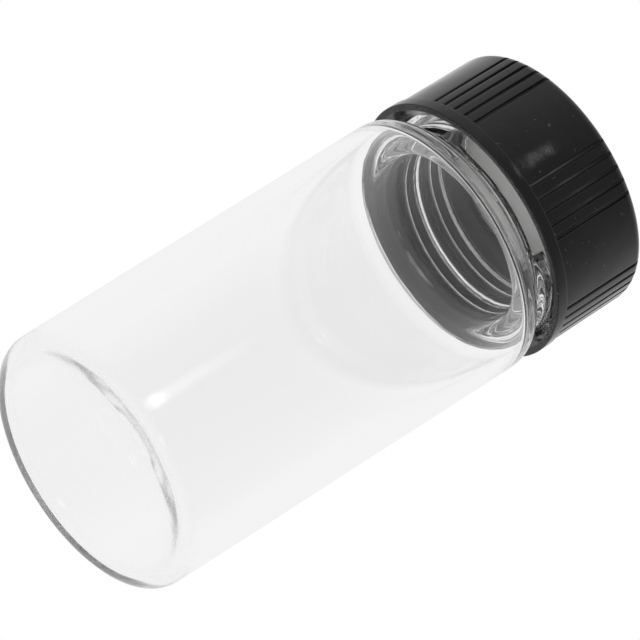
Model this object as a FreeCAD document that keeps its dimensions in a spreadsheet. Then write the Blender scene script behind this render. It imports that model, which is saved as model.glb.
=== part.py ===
import FreeCAD, Part
import Sketcher

import math
import os

# A screw-top specimen jar: a glass vial, a ribbed screw cap and the liner that seals it.
# Millimetres, +Z up, origin at the middle of the foot. The jar stands upright and closed.
# Heights in the neck and the cap are measured down from the glass's mouth, so the cap,
# the liner and both threads stay together when the vial's height changes.

SIZES = {
    # glass body
    "vial_height": 57.0,            # foot to mouth
    "body_diameter": 27.5,
    "wall": 1.15,
    "foot_corner": 1.8,             # outside rounding between wall and foot
    "floor_thickness": 1.5,
    "floor_corner": 0.8,            # inside rounding between wall and floor
    "punt_diameter": 18.0,          # where the foot starts to rise
    "punt_flat_diameter": 10.0,     # the level middle of the punt
    "punt_depth": 0.35,
    "punt_round": 10.0,
    # shoulder and neck
    "neck_height": 10.1,            # shoulder to mouth, on the neck's outside
    "shoulder_slope": 10.0,         # degrees above level
    "shoulder_thickness": 1.5,
    "shoulder_corner": 2.0,         # outside rounding between wall and shoulder
    "shoulder_hollow": 1.2,         # inside rounding between wall and shoulder
    "shoulder_inset": 2.9,          # from the body's outside in to the neck's outside
    "neck_fillet": 1.9,
    "neck_wall": 1.85,
    "bore_corner": 1.35,            # rounding where the shoulder's inside meets the bore
    "lip_round": 0.5,
    # screw thread, shared by the neck and the cap
    "thread_pitch": 3.175,
    "thread_depth": 1.0,            # the glass thread's crest above the neck
    "thread_start": 1.4,            # mouth to the top edge of the glass thread
    "thread_turns": 1.85,
    "thread_angle": -64.0,          # degrees from +X to the lower end of both threads
    "thread_width": 1.9,            # at the root
    "thread_crest_width": 0.8,
    "thread_clearance": 0.25,       # radial play between neck and cap
    "cap_thread_turns": 1.25,
    "cap_thread_width": 1.6,
    "cap_thread_crest_width": 0.6,
    # cap
    "cap_height": 11.5,
    "cap_top_thickness": 1.3,
    "skirt_wall": 1.62,             # from the thread's root to the outside, at the collar
    "skirt_draft": 0.7,             # degrees
    "top_edge_round": 1.0,
    "collar_height": 1.2,
    "collar_step": 0.16,            # how far the collar stands proud of the skirt
    "rim_width": 0.65,              # flat ring at the mouth of the cap
    "lead_in_height": 1.1,
    "groove_width": 0.46,
    "groove_depth": 0.38,
    "groove_round": 0.15,
    "groove_angle": 6.05,           # degrees from one groove to the next in a group
    "grooves_per_group": 5,
    "groove_groups": 6,
    # liner
    "liner_thickness": 1.4,
    "liner_clearance": 0.1,         # radial, in its seat
    "liner_seat_step": 0.3,         # how far the seat is narrower than the cap's bore
}

doc = FreeCAD.newDocument("specimen_jar")


# ---------------------------------------------------------------- the sheet of sizes

def make_sheet():
    sheet = doc.addObject("Spreadsheet::Sheet", "sizes")
    for row, (alias, number) in enumerate(SIZES.items(), start=1):
        sheet.set(f"A{row}", alias)
        sheet.set(f"B{row}", str(number))
        sheet.setAlias(f"B{row}", alias)
    doc.recompute()
    return sheet


sheet = make_sheet()


def size(alias):
    return f"sizes.{alias}"


def number(expression):
    return float(sheet.evalExpression(expression))


# Places worked out from the sizes, as expressions that the sketches are bound to.
BODY_R = "sizes.body_diameter / 2"
INSIDE_R = f"({BODY_R} - sizes.wall)"
NECK_R = f"({BODY_R} - sizes.shoulder_inset)"
BORE_R = f"({NECK_R} - sizes.neck_wall)"
THREAD_R = f"({NECK_R} + sizes.thread_depth)"
NECK_FOOT_Z = "(sizes.vial_height - sizes.neck_height)"
SHOULDER_DROP = "sizes.shoulder_thickness / cos(sizes.shoulder_slope)"

CAP_BORE_R = f"({THREAD_R} + sizes.thread_clearance)"
CAP_THREAD_CREST_R = f"({NECK_R} + sizes.thread_clearance)"
LINER_SEAT_R = f"({CAP_BORE_R} - sizes.liner_seat_step)"
SKIRT_R = f"({CAP_BORE_R} + sizes.skirt_wall)"
COLLAR_R = f"({SKIRT_R} + sizes.collar_step)"
CAP_CEILING_Z = "(sizes.vial_height + sizes.liner_thickness)"
CAP_TOP_Z = f"({CAP_CEILING_Z} + sizes.cap_top_thickness)"
CAP_RIM_Z = f"({CAP_TOP_Z} - sizes.cap_height)"
COLLAR_TOP_Z = f"({CAP_RIM_Z} + sizes.collar_height)"

# Middle of each ridge at its lower end. The cap's ridge runs half a pitch above the
# glass's one, so it bears on the next turn of the glass from below.
GLASS_THREAD_Z = (
    "(sizes.vial_height - sizes.thread_start - sizes.thread_width / 2"
    " - sizes.thread_turns * sizes.thread_pitch)"
)
CAP_THREAD_Z = f"({GLASS_THREAD_Z} + sizes.thread_pitch / 2)"

ROOT_OVERLAP = 0.3      # how deep a ridge's profile is sunk in the wall that it grows from
AXIS_TOLERANCE = 1e-9


# ---------------------------------------------------------------- building blocks

def new_body(name):
    body = doc.addObject("PartDesign::Body", name)
    body.Label = name
    return body


def origin_plane(body, role):
    return next(o for o in body.Origin.OriginFeatures if o.Role == role)


def slope(x_expression):
    """Height of the shoulder's outside line over a radius, at its slope from the neck."""
    return f"{NECK_FOOT_Z} - ({x_expression} - {NECK_R}) * tan(sizes.shoulder_slope)"


def corner_tangents(before, corner, after, radius):
    """Ends and centre of the arc that rounds a corner, and whether it turns left."""
    to_before = (before - corner).normalize()
    to_after = (after - corner).normalize()
    half = to_before.getAngle(to_after) / 2
    reach = radius / math.tan(half)
    middle = (to_before + to_after).normalize() * (radius / math.sin(half))
    turns_left = (corner - before).cross(after - corner).z > 0
    return corner + to_before * reach, corner + to_after * reach, corner + middle, turns_left


def pin_point(sketch, geometry, position, x, y):
    """Hold a point at x, y, given as expressions, from the sketch's origin."""
    for kind, expression, axis in (("DistanceX", x, -2), ("DistanceY", y, -1)):
        if abs(number(expression)) < AXIS_TOLERANCE:
            sketch.addConstraint(Sketcher.Constraint("PointOnObject", geometry, position, axis))
            continue
        datum = number(expression)
        index = sketch.addConstraint(Sketcher.Constraint(kind, -1, 1, geometry, position, datum))
        sketch.setExpression(f"Constraints[{index}]", expression)


def outline(body, name, role, corners, height=None, turn=None):
    """A closed sketch through corners (x, y, radius or None), all given as expressions.

    Height lifts the sketch off its plane, and turn is its angle about the jar's axis.
    """
    sketch = body.newObject("Sketcher::SketchObject", name)
    sketch.AttachmentSupport = [(origin_plane(body, role), "")]
    sketch.MapMode = "FlatFace"
    upright = FreeCAD.Vector(0, 0, 1) if role == "XY_Plane" else FreeCAD.Vector(0, 1, 0)
    if turn is not None:
        spin = FreeCAD.Rotation(upright, number(turn))
        sketch.AttachmentOffset = FreeCAD.Placement(FreeCAD.Vector(0, 0, 0), spin)
        sketch.setExpression("AttachmentOffset.Rotation.Angle", turn)
    if height is not None:
        sketch.setExpression("AttachmentOffset.Base.z", height)
    points = [FreeCAD.Vector(number(x), number(y), 0) for x, y, _ in corners]
    count = len(corners)
    arcs = {}
    starts = list(points)
    ends = list(points)
    for i, (_, _, radius) in enumerate(corners):
        if radius is None:
            continue
        before, after = points[i - 1], points[(i + 1) % count]
        end, start, centre, turns_left = corner_tangents(before, points[i], after, number(radius))
        ends[i] = end
        starts[i] = start
        first, last = (end, start) if turns_left else (start, end)
        angles = [math.atan2(p.y - centre.y, p.x - centre.x) for p in (first, last)]
        circle = Part.Circle(centre, FreeCAD.Vector(0, 0, 1), number(radius))
        arcs[i] = (Part.ArcOfCircle(circle, angles[0], angles[1]), turns_left)
    for i in range(count):
        sketch.addGeometry(Part.LineSegment(starts[i], ends[(i + 1) % count]), False)
    for i, (x, y, radius) in enumerate(corners):
        line_in = (i - 1) % count
        if radius is None:
            sketch.addConstraint(Sketcher.Constraint("Coincident", line_in, 2, i, 1))
            pin_point(sketch, i, 1, x, y)
            continue
        arc, turns_left = arcs[i]
        arc_index = sketch.addGeometry(arc, False)
        corner_index = sketch.addGeometry(Part.Point(points[i]), True)
        arc_in, arc_out = (1, 2) if turns_left else (2, 1)
        sketch.addConstraint(Sketcher.Constraint("Tangent", line_in, 2, arc_index, arc_in))
        sketch.addConstraint(Sketcher.Constraint("Tangent", arc_index, arc_out, i, 1))
        sketch.addConstraint(Sketcher.Constraint("PointOnObject", corner_index, 1, line_in))
        sketch.addConstraint(Sketcher.Constraint("PointOnObject", corner_index, 1, i))
        index = sketch.addConstraint(Sketcher.Constraint("Radius", arc_index, number(radius)))
        sketch.setExpression(f"Constraints[{index}]", radius)
        pin_point(sketch, corner_index, 1, x, y)
    doc.recompute()
    return sketch


def revolve(body, name, sketch):
    turned = body.newObject("PartDesign::Revolution", name)
    turned.Profile = sketch
    turned.ReferenceAxis = (sketch, ["V_Axis"])
    turned.Angle = 360
    doc.recompute()
    return turned


def ridge(body, name, root_r, crest_r, middle_z, root_width, crest_width, turns):
    """A right-hand helical ridge that grows from a wall at root_r to crest_r."""
    outward = number(crest_r) > number(root_r)
    sunk_r = f"{root_r} - {ROOT_OVERLAP}" if outward else f"{root_r} + {ROOT_OVERLAP}"
    corners = [
        (sunk_r, f"{middle_z} - {root_width} / 2", None),
        (root_r, f"{middle_z} - {root_width} / 2", None),
        (crest_r, f"{middle_z} - {crest_width} / 2", None),
        (crest_r, f"{middle_z} + {crest_width} / 2", None),
        (root_r, f"{middle_z} + {root_width} / 2", None),
        (sunk_r, f"{middle_z} + {root_width} / 2", None),
    ]
    sketch = outline(body, f"{name}_profile", "XZ_Plane", corners, turn=size("thread_angle"))
    before = body.Shape.Volume
    helix = body.newObject("PartDesign::AdditiveHelix", name)
    helix.Profile = sketch
    helix.ReferenceAxis = (sketch, ["V_Axis"])
    helix.Mode = "pitch-turns-angle"
    helix.setExpression("Pitch", size("thread_pitch"))
    helix.setExpression("Turns", turns)
    doc.recompute()
    if body.Shape.Volume <= before:
        raise RuntimeError(f"{name} added nothing")
    return helix


# ---------------------------------------------------------------- the glass vial

def make_vial():
    body = new_body("glass_vial")
    floor = size("floor_thickness")
    round_ = size("punt_round")
    punt_r = "sizes.punt_diameter / 2"
    flat_r = "sizes.punt_flat_diameter / 2"
    corners = [
        ("0", size("punt_depth"), None),
        (flat_r, size("punt_depth"), round_),
        (punt_r, "0", round_),
        (BODY_R, "0", size("foot_corner")),
        (BODY_R, slope(BODY_R), size("shoulder_corner")),
        (NECK_R, NECK_FOOT_Z, size("neck_fillet")),
        (NECK_R, size("vial_height"), size("lip_round")),
        (BORE_R, size("vial_height"), size("lip_round")),
        (BORE_R, f"{slope(BORE_R)} - {SHOULDER_DROP}", size("bore_corner")),
        (INSIDE_R, f"{slope(INSIDE_R)} - {SHOULDER_DROP}", size("shoulder_hollow")),
        (INSIDE_R, floor, size("floor_corner")),
        (punt_r, floor, round_),
        (flat_r, f"{floor} + sizes.punt_depth", round_),
        ("0", f"{floor} + sizes.punt_depth", None),
    ]
    revolve(body, "vial_wall", outline(body, "vial_section", "XZ_Plane", corners))
    ridge(
        body, "vial_thread", NECK_R, THREAD_R, GLASS_THREAD_Z,
        size("thread_width"), size("thread_crest_width"), size("thread_turns"),
    )
    return body


# ---------------------------------------------------------------- the cap

def make_cap():
    body = new_body("screw_cap")
    edge_r = f"({SKIRT_R} - ({CAP_TOP_Z} - {COLLAR_TOP_Z}) * tan(sizes.skirt_draft))"
    step = size("liner_seat_step")
    corners = [
        ("0", CAP_TOP_Z, None),
        ("0", CAP_CEILING_Z, None),
        (LINER_SEAT_R, CAP_CEILING_Z, None),
        (LINER_SEAT_R, size("vial_height"), None),
        (CAP_BORE_R, f"sizes.vial_height - {step}", None),
        (CAP_BORE_R, f"{CAP_RIM_Z} + sizes.lead_in_height", None),
        (f"{COLLAR_R} - sizes.rim_width", CAP_RIM_Z, None),
        (COLLAR_R, CAP_RIM_Z, None),
        (COLLAR_R, COLLAR_TOP_Z, None),
        (SKIRT_R, f"{COLLAR_TOP_Z} + sizes.collar_step", None),
        (edge_r, CAP_TOP_Z, size("top_edge_round")),
    ]
    revolve(body, "cap_shell", outline(body, "cap_section", "XZ_Plane", corners))
    ridge(
        body, "cap_thread", CAP_BORE_R, CAP_THREAD_CREST_R, CAP_THREAD_Z,
        size("cap_thread_width"), size("cap_thread_crest_width"), size("cap_thread_turns"),
    )
    cut_grooves(body)
    return body


def cut_grooves(body):
    """Groups of upright grooves in the skirt, the first group centred on the -Y side."""
    half = "sizes.groove_width / 2"
    floor_y = f"-({SKIRT_R} - sizes.groove_depth)"
    clear_y = f"-({COLLAR_R} + sizes.groove_depth)"
    rounding = size("groove_round")
    corners = [
        (f"-{half}", clear_y, None),
        (half, clear_y, None),
        (half, floor_y, rounding),
        (f"-{half}", floor_y, rounding),
    ]
    foot_z = f"{COLLAR_TOP_Z} + sizes.collar_step"
    group_angle = "(sizes.grooves_per_group - 1) * sizes.groove_angle"
    section = outline(
        body, "groove_section", "XY_Plane", corners, height=foot_z, turn=f"-{group_angle} / 2",
    )
    before = body.Shape.Volume
    groove = body.newObject("PartDesign::Pocket", "groove")
    groove.Profile = section
    groove.Reversed = True
    groove.Type = "Length"
    groove.setExpression("Length", size("cap_height"))
    doc.recompute()
    if body.Shape.Volume >= before:
        raise RuntimeError("the first groove cut nothing")

    around = body.newObject("PartDesign::MultiTransform", "grip")
    around.Originals = [groove]
    group = body.newObject("PartDesign::PolarPattern", "groove_group")
    group.Axis = (section, ["N_Axis"])
    group.setExpression("Occurrences", size("grooves_per_group"))
    group.setExpression("Angle", group_angle)
    ring = body.newObject("PartDesign::PolarPattern", "group_ring")
    ring.Axis = (section, ["N_Axis"])
    ring.Angle = 360
    ring.setExpression("Occurrences", size("groove_groups"))
    around.Transformations = [group, ring]
    body.Tip = around
    doc.recompute()


# ---------------------------------------------------------------- the liner

def make_liner():
    body = new_body("cap_liner")
    radius = f"{LINER_SEAT_R} - sizes.liner_clearance"
    corners = [
        ("0", size("vial_height"), None),
        (radius, size("vial_height"), None),
        (radius, CAP_CEILING_Z, None),
        ("0", CAP_CEILING_Z, None),
    ]
    revolve(body, "liner_disc", outline(body, "liner_section", "XZ_Plane", corners))
    return body


# ---------------------------------------------------------------- build, check and write

pieces = [make_vial(), make_cap(), make_liner()]
doc.recompute()

for item in doc.Objects:
    if "Invalid" in item.State or "Error" in item.State:
        raise RuntimeError(f"{item.Name} failed: {item.State}")
for piece in pieces:
    if piece.Shape.isNull() or not piece.Shape.isValid() or len(piece.Shape.Solids) != 1:
        raise RuntimeError(f"{piece.Label} is not one valid solid")

os.makedirs("parts", exist_ok=True)
for piece in pieces:
    piece.Shape.exportStep(os.path.join("parts", f"{piece.Label}.step"))
    print(piece.Label, round(piece.Shape.Volume, 3), piece.Shape.BoundBox)
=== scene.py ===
import math

import bpy
import numpy as np
from mathutils import Matrix, Vector


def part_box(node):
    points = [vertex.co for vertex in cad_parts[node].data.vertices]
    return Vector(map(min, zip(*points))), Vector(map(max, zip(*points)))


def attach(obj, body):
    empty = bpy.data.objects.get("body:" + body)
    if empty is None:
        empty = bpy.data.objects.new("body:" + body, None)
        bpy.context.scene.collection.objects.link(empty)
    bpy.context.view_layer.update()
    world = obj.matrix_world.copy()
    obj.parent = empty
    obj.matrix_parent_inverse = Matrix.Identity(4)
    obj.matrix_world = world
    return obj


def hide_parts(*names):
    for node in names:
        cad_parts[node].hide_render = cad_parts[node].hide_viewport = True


# A clear glass specimen jar with a black ribbed screw cap and a white liner.
# The jar's own lengths are in millimetres and go into its meshes as metres. Those of the
# materials, the camera, the lamps and the floor are in metres. Named angles are in degrees.

MM = 0.001
NEAR = 1e-6                 # heights closer than this are the same

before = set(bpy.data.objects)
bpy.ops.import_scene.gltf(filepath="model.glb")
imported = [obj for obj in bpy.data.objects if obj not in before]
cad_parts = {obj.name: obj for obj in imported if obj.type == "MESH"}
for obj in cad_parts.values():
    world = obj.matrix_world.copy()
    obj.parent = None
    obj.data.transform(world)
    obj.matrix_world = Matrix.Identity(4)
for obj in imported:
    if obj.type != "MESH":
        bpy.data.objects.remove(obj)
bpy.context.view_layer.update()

# ---------------------------------------------------------------- the vial's sizes

VIAL_HIGH = np.array(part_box("glass_vial")[1]) / MM
MOUTH = VIAL_HIGH[2]
BODY_R = VIAL_HIGH[0]
WALL = 1.15
INSIDE_R = BODY_R - WALL
FOOT_CORNER = 1.8
FLOOR = 1.5
FLOOR_CORNER = 0.8
PUNT_R = 9.0
PUNT_FLAT_R = 5.0
PUNT_DEPTH = 0.35
PUNT_ROUND = 10.0
SHOULDER_INSET = 2.9        # from the body's outside in to the neck's
SHOULDER_ANGLE = 10.0
SHOULDER_SLOPE = math.tan(math.radians(SHOULDER_ANGLE))
SHOULDER_THICKNESS = 1.5
SHOULDER_DROP = SHOULDER_THICKNESS / math.cos(math.radians(SHOULDER_ANGLE))
SHOULDER_CORNER = 2.0
SHOULDER_HOLLOW = 1.2
NECK_HEIGHT = 10.1
NECK_R = BODY_R - SHOULDER_INSET
NECK_FOOT = MOUTH - NECK_HEIGHT
NECK_FILLET = 1.9
NECK_WALL = 1.85
BORE_R = NECK_R - NECK_WALL
BORE_CORNER = 1.35
LIP_ROUND = 0.5

PITCH = 3.175
THREAD_ANGLE = -64.0        # from +X to the lower end of both threads
THREAD_START = 1.4          # from the mouth to the top edge of the glass thread
THREAD_DEPTH = 1.0
THREAD_WIDTH = 1.9
THREAD_CREST = 0.8
THREAD_TURNS = 1.85
THREAD_FADE = 0.04          # turns over which each end of it rises
THREAD_LOW = MOUTH - THREAD_START - THREAD_WIDTH / 2 - THREAD_TURNS * PITCH

VIAL_SEGMENTS = 600
SHOULDER_STEP = 0.15        # between rings through the shoulder
NECK_STEP = 0.07            # between rings up the neck, where the thread is
STEPS_BELOW_CORNER = 1.5    # how far under the shoulder's corner the short steps start
NECK_LOW = NECK_FOOT + NECK_FILLET * 0.3    # where the neck's shorter steps and its thread start

# How uneven the glass is, its longest and shortest waves, and the heights or radii over
# which that comes and goes.
NECK_UNEVEN = 0.003
NECK_UNEVEN_RISE = (NECK_FOOT - 0.2, NECK_FOOT + 0.6)
NECK_WAVES = (2.6, 0.7)
BORE_UNEVEN = 0.004
BORE_UNEVEN_RISE = (BORE_R + 2.6, BORE_R + 1.2)
BORE_WAVES = (3.0, 0.8)
CLOUD = 0.012               # waves on the inside of the shoulder
CLOUD_RISE = (BORE_R + 0.8, BORE_R + 1.8)
CLOUD_FALL = (INSIDE_R - 0.1, INSIDE_R - 1.0)
CLOUD_WAVES = (6.0, 2.0)
INSIDE_UNEVEN_RISE = (PUNT_DEPTH + FLOOR + 1.0, NECK_FOOT - 3.0)
EVEN_LIP = (0, 1.0)         # below the mouth

# ---------------------------------------------------------------- the cap's and the liner's sizes

CAP_LOW, CAP_HIGH = (np.array(corner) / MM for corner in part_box("screw_cap"))
LINER_LOW, LINER_HIGH = (np.array(corner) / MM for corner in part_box("cap_liner"))
CAP_TOP = CAP_HIGH[2]
CAP_RIM = CAP_LOW[2]
CEILING = LINER_HIGH[2]
COLLAR_R = CAP_HIGH[0]
COLLAR_HEIGHT = 1.2
COLLAR_STEP = 0.16
COLLAR_TOP = CAP_RIM + COLLAR_HEIGHT
SKIRT_FOOT = COLLAR_TOP + COLLAR_STEP
SKIRT_R = COLLAR_R - COLLAR_STEP
SKIRT_DRAFT = math.tan(math.radians(0.7))
TOP_ROUND = 1.0
RIM_WIDTH = 0.65
RIM_ROUND_INSIDE = 0.12
RIM_ROUND_OUTSIDE = 0.14
COLLAR_ROUND = 0.06
SKIRT_FOOT_ROUND = 0.05
THREAD_CLEARANCE = 0.25
CAP_BORE_R = NECK_R + THREAD_DEPTH + THREAD_CLEARANCE
LEAD_IN = 1.1
LEAD_IN_ROUND = 0.3
SEAT_STEP = 0.3             # how far the liner's seat is narrower than the bore
SEAT_R = CAP_BORE_R - SEAT_STEP

CAP_THREAD_WIDTH = 1.6
CAP_THREAD_CREST = 0.6
CAP_THREAD_TURNS = 1.25
CAP_THREAD_FADE = 0.03
CAP_THREAD_LOW = THREAD_LOW + PITCH / 2
CAP_THREAD_STEP = 0.2       # between rings up the cap's bore

GROOVE_HALF = 0.23
GROOVE_DEPTH = 0.38
GROOVE_ANGLE = 6.05         # from one groove to the next in a group
GROOVES = 5
GROUPS = 6
GROOVE_START = 0.07         # above the skirt's foot
GROOVE_START_HALF = 0.02    # to the rings just below and just above that start
GROOVE_LEAN = 0.2           # the grooves' share of the skirt's draft
GROOVE_FLANK = (GROOVE_HALF - 0.05, GROOVE_HALF + 0.02)     # where a groove's side rises
GROOVE_LIP = (GROOVE_HALF + 0.01, GROOVE_HALF + 0.09)       # where its softer lip does
GROOVE_LIP_SHARE = 0.07     # of the depth
GROOVE_POINTS = (-0.13, -0.05, -0.02, 0, 0.02, 0.05, 0.1)   # mesh lines, from a groove's edge
PLAIN_STEPS = 16            # from one group to the next

LINER_SEGMENTS = 160
LINER_STEP = 0.6            # between rings
LINER_ROUND = 0.12
PRESS_DEPTH = 0.05          # of the ring that the glass has pressed in
PRESS_ROUND = 0.15


# ---------------------------------------------------------------- mesh tools

def rounded_outline(corners, arc_step=8.0):
    """Points of a polyline whose corners (r, z, radius) are rounded by arcs."""
    points = []
    last = len(corners) - 1
    for i, (r, z, radius) in enumerate(corners):
        corner = Vector((r, z))
        if radius == 0 or i in (0, last):
            points.append(corner)
            continue
        before = (Vector(corners[i - 1][:2]) - corner).normalized()
        after = (Vector(corners[i + 1][:2]) - corner).normalized()
        half = before.angle(after) / 2
        centre = corner + (before + after).normalized() * (radius / math.sin(half))
        start = corner + before * (radius / math.tan(half)) - centre
        turn = math.pi - 2 * half
        sign = 1 if before.x * after.y - before.y * after.x < 0 else -1
        steps = max(2, math.ceil(math.degrees(turn) / arc_step))
        for k in range(steps + 1):
            angle = sign * turn * k / steps
            c, s = math.cos(angle), math.sin(angle)
            points.append(centre + Vector((c * start.x - s * start.y, s * start.x + c * start.y)))
    return points


def divided(points, step, low=-1e9, high=1e9):
    """The outline, its runs between two heights cut into steps no longer than this."""
    result = [points[0]]
    for a, b in zip(points, points[1:]):
        inside = min(a.y, b.y) >= low - NEAR and max(a.y, b.y) <= high + NEAR
        count = max(1, math.ceil((b - a).length / step)) if inside else 1
        result += [a.lerp(b, k / count) for k in range(1, count + 1)]
    return result


def turned_mesh(name, outline, angles, place=None):
    """A closed lathe body: the outline starts and ends on the axis.

    place(index, point, angles, radii, heights) changes a ring's radii and heights, all round.
    """
    count = len(angles)
    rings = outline[1:-1]
    coords = np.empty((2 + len(rings) * count, 3))
    coords[0] = (0, 0, outline[0].y)
    coords[-1] = (0, 0, outline[-1].y)
    for index, point in enumerate(rings):
        radii, heights = np.full(count, point.x), np.full(count, point.y)
        if place is not None:
            radii, heights = place(index + 1, point, angles, radii, heights)
        ring = slice(1 + index * count, 1 + (index + 1) * count)
        coords[ring] = np.stack([radii * np.cos(angles), radii * np.sin(angles), heights], axis=1)
    this = np.arange(count)
    following = (this + 1) % count
    last = len(coords) - 1
    top = 1 + (len(rings) - 1) * count
    faces = [(0, 1 + n, 1 + k) for k, n in zip(this.tolist(), following.tolist())]
    for ring in range(len(rings) - 1):
        a = 1 + ring * count
        quads = np.stack([a + this, a + following, a + count + following, a + count + this], axis=1)
        faces += quads.tolist()
    faces += [(top + k, top + n, last) for k, n in zip(this.tolist(), following.tolist())]
    mesh = bpy.data.meshes.new(name)
    mesh.from_pydata((coords * MM).tolist(), [], faces)
    mesh.polygons.foreach_set("use_smooth", np.ones(len(mesh.polygons), dtype=bool))
    mesh.update()
    piece = bpy.data.objects.new(name, mesh)
    bpy.context.scene.collection.objects.link(piece)
    return piece


def unevenness(seed, radius, longest, shortest, waves=24):
    """A smooth seeded ripple of about 0.7 (root mean square) over a turned surface."""
    random = np.random.default_rng(seed)
    length = np.exp(random.uniform(math.log(shortest), math.log(longest), waves))
    lean = random.uniform(0, math.pi, waves)
    around = np.round(2 * math.pi * radius / length * np.sin(lean))
    along = 2 * math.pi / length * np.cos(lean)
    phase = random.uniform(0, 2 * math.pi, waves)
    weight = length / np.sqrt((length ** 2).sum())

    def ripple(angles, z):
        z = np.broadcast_to(z, angles.shape)
        waves_here = np.sin(around[:, None] * angles + along[:, None] * z + phase[:, None])
        return (weight[:, None] * waves_here).sum(axis=0)

    return ripple


def rise(value, start, end):
    """0 at start, 1 at end, level past both and a smooth step between; either may be larger."""
    t = np.clip((value - start) / (end - start), 0, 1)
    return t * t * (3 - 2 * t)


def ridge(z, angles, low, turns_long, width, crest, depth, fade):
    """How far a screw ridge stands out of its wall at a height, all round."""
    first = ((angles - math.radians(THREAD_ANGLE)) / (2 * math.pi)) % 1.0
    height = np.zeros_like(angles)
    for whole in range(-1, math.ceil(turns_long) + 1):
        turns = first + whole
        away = np.abs(z - low - turns * PITCH)
        flank = rise((width / 2 - away) / ((width - crest) / 2), 0, 1)
        ends = rise(np.minimum(turns, turns_long - turns), -fade / 2, fade / 2)
        height = np.maximum(height, depth * flank * ends)
    return height


# ---------------------------------------------------------------- the vial

def shoulder_z(r):
    """The height of the shoulder's outer slope at a radius."""
    return NECK_FOOT - (r - NECK_R) * SHOULDER_SLOPE


def make_vial():
    """The glass: a turned wall with its thread, slightly uneven from the shoulder up."""
    outside = [
        (0, PUNT_DEPTH, 0),
        (PUNT_FLAT_R, PUNT_DEPTH, PUNT_ROUND),
        (PUNT_R, 0, PUNT_ROUND),
        (BODY_R, 0, FOOT_CORNER),
        (BODY_R, shoulder_z(BODY_R), SHOULDER_CORNER),
        (NECK_R, NECK_FOOT, NECK_FILLET),
        (NECK_R, MOUTH, LIP_ROUND),
    ]
    inside = [
        (BORE_R, MOUTH, LIP_ROUND),
        (BORE_R, shoulder_z(BORE_R) - SHOULDER_DROP, BORE_CORNER),
        (INSIDE_R, shoulder_z(INSIDE_R) - SHOULDER_DROP, SHOULDER_HOLLOW),
        (INSIDE_R, FLOOR, FLOOR_CORNER),
        (PUNT_R, FLOOR, PUNT_ROUND),
        (PUNT_FLAT_R, FLOOR + PUNT_DEPTH, PUNT_ROUND),
        (0, FLOOR + PUNT_DEPTH, 0),
    ]
    outline = rounded_outline(outside + inside)
    shoulder_low = shoulder_z(BODY_R) - SHOULDER_CORNER - STEPS_BELOW_CORNER
    outline = divided(outline, SHOULDER_STEP, shoulder_low, NECK_LOW)
    outline = divided(outline, NECK_STEP, NECK_LOW, MOUTH)
    mouth_ring = next(i for i, p in enumerate(outline) if p.y >= MOUTH - NEAR)
    neck_ripple = unevenness(3, NECK_R, *NECK_WAVES)
    bore_ripple = unevenness(8, BORE_R, *BORE_WAVES)
    cloud_ripple = unevenness(11, INSIDE_R, *CLOUD_WAVES)

    def outer_wall(point, angles, radii):
        if point.y >= NECK_LOW:
            thread = ridge(
                point.y, angles, THREAD_LOW, THREAD_TURNS, THREAD_WIDTH,
                THREAD_CREST, THREAD_DEPTH, THREAD_FADE,
            )
            radii = np.maximum(radii, NECK_R + thread)
        size = NECK_UNEVEN * rise(point.y, *NECK_UNEVEN_RISE) * rise(MOUTH - point.y, *EVEN_LIP)
        return radii - size * (1 + neck_ripple(angles, point.y))

    def place(index, point, angles, radii, heights):
        if index < mouth_ring:
            return outer_wall(point, angles, radii), heights
        above_floor = rise(point.y, *INSIDE_UNEVEN_RISE)
        size = BORE_UNEVEN * rise(point.x, *BORE_UNEVEN_RISE) * rise(MOUTH - point.y, *EVEN_LIP)
        clouded = rise(point.x, *CLOUD_RISE) * rise(point.x, *CLOUD_FALL)
        cloud = CLOUD * clouded * cloud_ripple(angles, point.x)
        radii = radii + above_floor * size * bore_ripple(angles, point.y + point.x)
        return radii, heights - above_floor * cloud

    angles = np.arange(VIAL_SEGMENTS) * (2 * math.pi / VIAL_SEGMENTS)
    vial = turned_mesh("clear_vial", outline, angles, place)
    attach(vial, "vial")
    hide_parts("glass_vial")
    return vial


# ---------------------------------------------------------------- the cap and its liner

def groove_middles():
    """The directions of the grip grooves, in radians; one group faces -Y."""
    step = math.radians(GROOVE_ANGLE)
    group = [(k - (GROOVES - 1) / 2) * step for k in range(GROOVES)]
    return [math.radians(-90 + 360 * g / GROUPS) + offset for g in range(GROUPS) for offset in group]


def cap_angles():
    """Directions round the cap, close together at the edges of the grooves."""
    half = [GROOVE_HALF + away for away in GROOVE_POINTS]
    across = [-away for away in half] + [0] + half
    middles = groove_middles()
    near = [m + a / SKIRT_R for m in middles for a in across]
    between = [m + math.radians(GROOVE_ANGLE) * f for m in middles for f in (0.35, 0.5, 0.65)]
    plain = 360 / GROUPS - (GROOVES - 1) * GROOVE_ANGLE
    wide = [
        middles[g * GROOVES + GROOVES - 1] + math.radians(plain * k / PLAIN_STEPS)
        for g in range(GROUPS) for k in range(1, PLAIN_STEPS)
    ]
    angles = np.array(near + between + wide) % (2 * math.pi)
    return np.array(sorted(set(np.round(angles, 6))))


def groove_depth(angles):
    """Depth of the grip grooves below the skirt, all round."""
    away = np.full_like(angles, 1e9)
    for middle in groove_middles():
        turn = (angles - middle + math.pi) % (2 * math.pi) - math.pi
        away = np.minimum(away, np.abs(turn) * SKIRT_R)
    flank, lip = rise(away, *GROOVE_FLANK), rise(away, *GROOVE_LIP)
    return GROOVE_DEPTH * (1 - (1 - GROOVE_LIP_SHARE) * flank - GROOVE_LIP_SHARE * lip)


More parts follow.
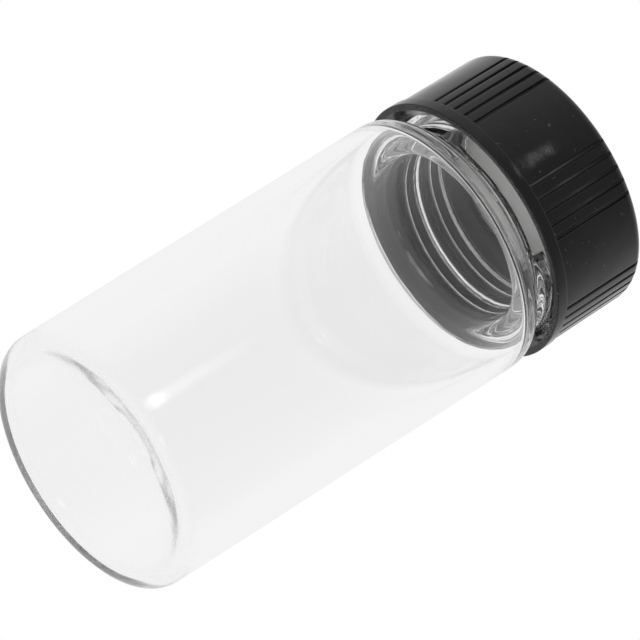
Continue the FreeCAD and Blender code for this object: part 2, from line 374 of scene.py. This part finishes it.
def make_cap():
    """The moulding: a turned wall with its inside thread, and grooves from the collar up."""
    edge_r = SKIRT_R - (CAP_TOP - COLLAR_TOP) * SKIRT_DRAFT
    bore_low, bore_high = CAP_RIM + LEAD_IN, MOUTH - SEAT_STEP
    groove_low = SKIRT_FOOT + GROOVE_START
    inside = [
        (0, CEILING, 0),
        (SEAT_R, CEILING, 0),
        (SEAT_R, MOUTH, 0),
        (CAP_BORE_R, bore_high, 0),
        (CAP_BORE_R, bore_low, LEAD_IN_ROUND),
        (COLLAR_R - RIM_WIDTH, CAP_RIM, RIM_ROUND_INSIDE),
    ]
    outside = [
        (COLLAR_R, CAP_RIM, RIM_ROUND_OUTSIDE),
        (COLLAR_R, COLLAR_TOP, COLLAR_ROUND),
        (SKIRT_R, SKIRT_FOOT, SKIRT_FOOT_ROUND),
        (edge_r, CAP_TOP, TOP_ROUND),
        (0, CAP_TOP, 0),
    ]
    outline = rounded_outline(inside + outside, arc_step=10.0)
    outline = divided(outline, CAP_THREAD_STEP, bore_low, bore_high)
    rim_ring = next(i for i, p in enumerate(outline) if p.y <= CAP_RIM + NEAR)
    wall = next(i for i, p in enumerate(outline) if i > rim_ring and p.y > groove_low)
    outline.insert(wall, Vector((SKIRT_R, groove_low - GROOVE_START_HALF)))
    outline.insert(wall + 1, Vector((SKIRT_R, groove_low + GROOVE_START_HALF)))

    def place(index, point, angles, radii, heights):
        if index < rim_ring:
            if bore_low < point.y < bore_high:
                radii = radii - ridge(
                    point.y, angles, CAP_THREAD_LOW, CAP_THREAD_TURNS, CAP_THREAD_WIDTH,
                    CAP_THREAD_CREST, THREAD_DEPTH, CAP_THREAD_FADE,
                )
            return radii, heights
        if point.y < groove_low:
            return radii, heights
        depth = groove_depth(angles)
        deep = SKIRT_R - depth - (point.y - SKIRT_FOOT) * SKIRT_DRAFT * GROOVE_LEAN
        return np.where(depth > 1e-4, np.minimum(radii, deep), radii), heights

    cap = turned_mesh("ribbed_cap", outline, cap_angles(), place)
    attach(cap, "cap")
    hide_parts("screw_cap")
    return cap


def make_liner():
    """The sealing disc, with the ring that the glass lip has pressed in its face."""
    radius = LINER_HIGH[0]
    low, high = LINER_LOW[2], LINER_HIGH[2]
    pressed = low + PRESS_DEPTH
    corners = [
        (0, low, 0),
        (BORE_R - 0.25, low, PRESS_ROUND),
        (BORE_R + 0.1, pressed, PRESS_ROUND),
        (NECK_R - 0.1, pressed, PRESS_ROUND),
        (NECK_R + 0.2, low, PRESS_ROUND),
        (radius, low, LINER_ROUND),
        (radius, high, LINER_ROUND),
        (0, high, 0),
    ]
    outline = divided(rounded_outline(corners), LINER_STEP)
    angles = np.arange(LINER_SEGMENTS) * (2 * math.pi / LINER_SEGMENTS)
    liner = turned_mesh("sealing_liner", outline, angles)
    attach(liner, "liner")
    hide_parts("cap_liner")
    return liner


# ---------------------------------------------------------------- node tools

def new_material(name):
    material = bpy.data.materials.new(name)
    material.use_nodes = True
    return material, material.node_tree, material.node_tree.nodes["Principled BSDF"]


def grey(level):
    return (level, level, level, 1)


def feed(tree, socket, value):
    """Gives a socket another node's output, or a number or colour of its own."""
    if isinstance(value, bpy.types.NodeSocket):
        tree.links.new(value, socket)
    else:
        socket.default_value = value


def math_node(tree, operation, *values):
    """The result of a maths node."""
    node = tree.nodes.new("ShaderNodeMath")
    node.operation = operation
    for socket, value in zip(node.inputs, values):
        feed(tree, socket, value)
    return node.outputs[0]


def vector_node(tree, operation, *values):
    """The outputs of a vector maths node."""
    node = tree.nodes.new("ShaderNodeVectorMath")
    node.operation = operation
    for socket, value in zip(node.inputs, values):
        feed(tree, socket, value)
    return node.outputs


def split_xyz(tree, vector):
    split = tree.nodes.new("ShaderNodeSeparateXYZ")
    tree.links.new(vector, split.inputs["Vector"])
    return split.outputs


def mapped(tree, value, source, target, smooth=False):
    """A value taken from one range to another, and held at its ends."""
    span = tree.nodes.new("ShaderNodeMapRange")
    span.interpolation_type = "SMOOTHSTEP" if smooth else "LINEAR"
    for name, number in zip(("From Min", "From Max", "To Min", "To Max"), source + target):
        span.inputs[name].default_value = number
    tree.links.new(value, span.inputs["Value"])
    return span.outputs["Result"]


def object_place(tree):
    """Places in the piece's own frame, in metres."""
    return tree.nodes.new("ShaderNodeTexCoord").outputs["Object"]


def noise(tree, place, scale, detail):
    texture = tree.nodes.new("ShaderNodeTexNoise")
    texture.inputs["Scale"].default_value = scale
    texture.inputs["Detail"].default_value = detail
    tree.links.new(place, texture.inputs["Vector"])
    return texture.outputs["Fac"]


def mixed_colour(tree, factor, first, second):
    """The first colour where the factor is 0, and the second where it is 1."""
    mix = tree.nodes.new("ShaderNodeMixRGB")
    for socket, value in zip(mix.inputs, (factor, first, second)):
        feed(tree, socket, value)
    return mix.outputs[0]


def mixed_shader(tree, factor, first, second):
    """The first shader where the factor is 0, and the second where it is 1."""
    mix = tree.nodes.new("ShaderNodeMixShader")
    for socket, value in zip(mix.inputs, (factor, first, second)):
        tree.links.new(value, socket)
    return mix.outputs[0]


def bump(tree, height, distance, shader):
    bumps = tree.nodes.new("ShaderNodeBump")
    bumps.inputs["Strength"].default_value = 1.0
    bumps.inputs["Distance"].default_value = distance
    tree.links.new(height, bumps.inputs["Height"])
    tree.links.new(bumps.outputs["Normal"], shader.inputs["Normal"])


def background(tree, colour):
    node = tree.nodes.new("ShaderNodeBackground")
    feed(tree, node.inputs["Color"], colour)
    return node.outputs[0]


def rays(tree):
    """Outputs that are 1 for rays of one kind each."""
    return tree.nodes.new("ShaderNodeLightPath").outputs


def clear_or_shiny(tree, path):
    """1 for rays that reached this surface through or off clear and shiny ones."""
    return math_node(tree, "MAXIMUM", path["Is Transmission Ray"], path["Is Glossy Ray"])


# ---------------------------------------------------------------- materials

GLASS_COLOUR = (0.999, 1.0, 0.999, 1)
GLASS_IOR = 1.473
GLASS_SHADOW = (0.95, 0.955, 0.95, 1)   # what the glass lets through to light the floor
HEEL_HAZE = 0.15                        # roughness at the foot's outer edge
HEEL_HAZE_HEIGHTS = (0.0012, 0.0032)    # where it fades out upwards
HEEL_HAZE_RADII = (0.0100, 0.0115)      # and where it starts, from the middle

PLASTIC_TONES = (0.007, 0.007, 0.0075, 1), (0.012, 0.012, 0.0125, 1)
PLASTIC_DUST = (0.07, 0.07, 0.068, 1)
PLASTIC_GLOSS = (0.07, 0.14)            # roughness, clean and smeared
PLASTIC_SPECULAR = 0.26
PLASTIC_RELIEF = 0.00005
PLASTIC_GRAIN = 0.12                    # the fine grain's share of that relief

LINER_TONES = (0.86, 0.86, 0.85, 1), (0.92, 0.92, 0.91, 1)
LINER_ROUGHNESS = 0.65
LINER_RELIEF = 0.00001


def glass_material():
    """Clear glass with a softened heel, which dims the light on the floor only a little."""
    material, tree, shader = new_material("clear_glass")
    shader.inputs["Base Color"].default_value = GLASS_COLOUR
    shader.inputs["Transmission Weight"].default_value = 1.0
    shader.inputs["IOR"].default_value = GLASS_IOR
    place = object_place(tree)
    level_place = vector_node(tree, "MULTIPLY", place, (1, 1, 0))["Vector"]
    off_axis = vector_node(tree, "LENGTH", level_place)["Value"]
    low = mapped(tree, split_xyz(tree, place)["Z"], HEEL_HAZE_HEIGHTS, (HEEL_HAZE, 0.0))
    outer = mapped(tree, off_axis, HEEL_HAZE_RADII, (0, 1))
    feed(tree, shader.inputs["Roughness"], math_node(tree, "MULTIPLY", low, outer))
    let_through = tree.nodes.new("ShaderNodeBsdfTransparent")
    let_through.inputs["Color"].default_value = GLASS_SHADOW
    surface = mixed_shader(tree, rays(tree)["Is Shadow Ray"], shader.outputs[0], let_through.outputs[0])
    feed(tree, tree.nodes["Material Output"].inputs["Surface"], surface)
    return material


def plastic_material():
    """Near-black and semi-gloss, with smears, specks, slow waves and a fine grain."""
    material, tree, shader = new_material("cap_plastic")
    place = object_place(tree)
    tone = mixed_colour(tree, noise(tree, place, scale=260, detail=3), *PLASTIC_TONES)
    specks = mapped(tree, noise(tree, place, scale=1900, detail=2), (0.70, 0.76), (0, 1))
    feed(tree, shader.inputs["Base Color"], mixed_colour(tree, specks, tone, PLASTIC_DUST))
    smears = mapped(tree, noise(tree, place, scale=150, detail=4), (0.35, 0.7), PLASTIC_GLOSS)
    feed(tree, shader.inputs["Roughness"], smears)
    shader.inputs["Specular IOR Level"].default_value = PLASTIC_SPECULAR
    grain = math_node(tree, "MULTIPLY", noise(tree, place, scale=2600, detail=3), PLASTIC_GRAIN)
    waves = noise(tree, place, scale=330, detail=1)
    bump(tree, math_node(tree, "ADD", waves, grain), PLASTIC_RELIEF, shader)
    return material


def liner_material():
    """White and matt, with a slight mottle and a fine grain."""
    material, tree, shader = new_material("liner_rubber")
    place = object_place(tree)
    tone = mixed_colour(tree, noise(tree, place, scale=900, detail=4), *LINER_TONES)
    feed(tree, shader.inputs["Base Color"], tone)
    shader.inputs["Roughness"].default_value = LINER_ROUGHNESS
    bump(tree, noise(tree, place, scale=3500, detail=3), LINER_RELIEF, shader)
    return material


# ---------------------------------------------------------------- camera

CAMERA_AIM = Vector((0.0, 0.0, 0.02987))
CAMERA_DISTANCE = 0.9436
CAMERA_SIDE = (-101.6, -28.28)          # azimuth from +X and elevation, where the camera stands
CAMERA_ROLL = 57.77
CAMERA_LENS = 552.6
CAMERA_SENSOR = 36
CAMERA_CLIP = (0.01, 50)


def direction(azimuth, elevation):
    azimuth, elevation = math.radians(azimuth), math.radians(elevation)
    level = math.cos(elevation)
    return Vector((math.cos(azimuth) * level, math.sin(azimuth) * level, math.sin(elevation)))


def make_camera():
    camera = bpy.data.cameras.new("camera")
    camera.lens = CAMERA_LENS
    camera.sensor_width = CAMERA_SENSOR
    camera.clip_start, camera.clip_end = CAMERA_CLIP
    stand = bpy.data.objects.new("camera", camera)
    bpy.context.scene.collection.objects.link(stand)
    away = direction(*CAMERA_SIDE)
    roll = Matrix.Rotation(math.radians(CAMERA_ROLL), 3, "Z")
    turn = (-away).to_track_quat("-Z", "Y").to_matrix() @ roll
    stand.matrix_world = Matrix.Translation(CAMERA_AIM + away * CAMERA_DISTANCE) @ turn.to_4x4()
    bpy.context.scene.camera = stand


# ---------------------------------------------------------------- room and floor

BACKDROP = 0.90             # the white ground as clear and shiny surfaces show it
ROOM = 0.44                 # the room on the camera's side, as they show it
ROOM_SIDE = (-82.0, -28.0)  # where the darkest part of the room is, azimuth and elevation
ROOM_EDGE = (-0.15, 0.4)    # how far towards that side the ground turns into the room
ROOM_LIGHT = 0.6            # what lights matt surfaces from all round
FLOOR_COLOUR = 0.85
FLOOR_ROUGHNESS = 0.9
FLOOR_LIFT = 0.38           # brings the lit floor, seen directly, up to about BACKDROP
FLOOR_HALF = 1.5
FLOOR_DROP = 0.0002         # keeps the floor clear of the jar's foot


def make_world():
    """White to the camera, a plain light on matt surfaces, and a darker side in the glass."""
    world = bpy.data.worlds.new("studio")
    bpy.context.scene.world = world
    world.use_nodes = True
    tree = world.node_tree
    tree.nodes.clear()
    sky = tree.nodes.new("ShaderNodeTexCoord").outputs["Generated"]
    toward = vector_node(tree, "DOT_PRODUCT", sky, direction(*ROOM_SIDE))["Value"]
    level = mapped(tree, toward, ROOM_EDGE, (BACKDROP, ROOM))
    path = rays(tree)
    lit = mixed_shader(
        tree, clear_or_shiny(tree, path), background(tree, grey(ROOM_LIGHT)), background(tree, level),
    )
    seen = mixed_shader(tree, path["Is Camera Ray"], lit, background(tree, grey(1)))
    feed(tree, tree.nodes.new("ShaderNodeOutputWorld").inputs["Surface"], seen)


def floor_material():
    """A matt floor, evenly pale in glass and gloss, and clear from below and to shadow rays."""
    material, tree, shader = new_material("floor")
    path = rays(tree)
    shader.inputs["Base Color"].default_value = grey(FLOOR_COLOUR)
    shader.inputs["Roughness"].default_value = FLOOR_ROUGHNESS
    shader.inputs["Emission Strength"].default_value = 1.0
    lift = mapped(tree, path["Is Camera Ray"], (0, 1), (0, FLOOR_LIFT))
    feed(tree, shader.inputs["Emission Color"], lift)
    bright = tree.nodes.new("ShaderNodeEmission")
    bright.inputs["Color"].default_value = grey(BACKDROP)
    plain = mixed_shader(tree, clear_or_shiny(tree, path), shader.outputs[0], bright.outputs[0])
    below = tree.nodes.new("ShaderNodeNewGeometry").outputs["Backfacing"]
    unseen = math_node(tree, "MAXIMUM", below, path["Is Shadow Ray"])
    clear = tree.nodes.new("ShaderNodeBsdfTransparent").outputs[0]
    feed(tree, tree.nodes["Material Output"].inputs["Surface"], mixed_shader(tree, unseen, plain, clear))
    return material


def make_floor():
    """The floor shows its top only, so that the jar can be seen from below."""
    mesh = bpy.data.meshes.new("floor")
    corners = [(x * FLOOR_HALF, y * FLOOR_HALF, 0) for x, y in ((-1, -1), (1, -1), (1, 1), (-1, 1))]
    mesh.from_pydata(corners, [], [(0, 1, 2, 3)])
    floor = bpy.data.objects.new("floor", mesh)
    bpy.context.scene.collection.objects.link(floor)
    floor.location.z = -FLOOR_DROP
    floor.data.materials.append(floor_material())


# ---------------------------------------------------------------- lamps

def soft_edge(tree, place):
    """1 in the middle of a lamp's face and a smooth fall to 0 at its edges."""
    off_middle = math_node(tree, "ABSOLUTE", math_node(tree, "SUBTRACT", place, 0.5))
    return mapped(tree, off_middle, (0.5, 0.05), (0, 1), smooth=True)


def fading_tail(tree, place):
    """A bright head near the start of a lamp's face and a long dim tail to its end."""
    near_end = mapped(tree, place, (0, 0.06), (0, 1), smooth=True)
    head = mapped(tree, place, (0.18, 0.08), (0, 0.7), smooth=True)
    tail = mapped(tree, place, (1, 0), (0, 0.3), smooth=True)
    return math_node(tree, "MULTIPLY", math_node(tree, "ADD", head, tail), near_end)


def area_lamp(name, side, distance, aim, size, power, along, in_glass):
    """A soft lamp whose side is the azimuth and elevation where it stands from its aim.

    along(tree, place) gives how its strength changes along its face.
    """
    lamp = bpy.data.lights.new(name, "AREA")
    lamp.shape = "RECTANGLE"
    lamp.size, lamp.size_y = size
    lamp.energy = power
    lamp.use_nodes = True
    tree = lamp.node_tree
    face = split_xyz(tree, tree.nodes.new("ShaderNodeNewGeometry").outputs["Parametric"])
    strength = math_node(tree, "MULTIPLY", along(tree, face["Y"]), soft_edge(tree, face["X"]))
    feed(tree, tree.nodes["Emission"].inputs["Strength"], strength)
    stand = bpy.data.objects.new(name, lamp)
    bpy.context.scene.collection.objects.link(stand)
    away = direction(*side)
    turn = away.to_track_quat("Z", "Y").to_matrix().to_4x4()
    stand.matrix_world = Matrix.Translation(Vector(aim) + away * distance) @ turn
    stand.visible_transmission = in_glass


def make_lamps():
    """A long lamp for the streak on the glass, and two slim ones close by the cap's skirt.

    Rays through the glass don't see the slim ones, which would show again in the bore.
    """
    area_lamp(
        "streak", side=(-117.0, 25.7), distance=0.434, aim=(0, 0, 0.0023),
        size=(0.11, 0.045), power=0.058, along=fading_tail, in_glass=True,
    )
    for name, height, power in (("window_low", 0.0541, 0.00045), ("window_high", 0.0577, 0.0004)):
        area_lamp(
            name, side=(-120.0, 28.3), distance=0.045, aim=(-0.0049, -0.0127, height),
            size=(0.015, 0.0018), power=power, along=soft_edge, in_glass=False,
        )


# ---------------------------------------------------------------- the scene

GLASS_BOUNCES = 200         # light turns many times in the neck and the foot before it leaves
CLEAR_BOUNCES = 20

make_vial().data.materials.append(glass_material())
make_cap().data.materials.append(plastic_material())
make_liner().data.materials.append(liner_material())
make_floor()
make_world()
make_lamps()
make_camera()
bpy.context.scene.view_settings.view_transform = "Standard"
cycles = bpy.context.scene.cycles
cycles.max_bounces = GLASS_BOUNCES
cycles.transmission_bounces = GLASS_BOUNCES
cycles.glossy_bounces = GLASS_BOUNCES
cycles.transparent_max_bounces = CLEAR_BOUNCES
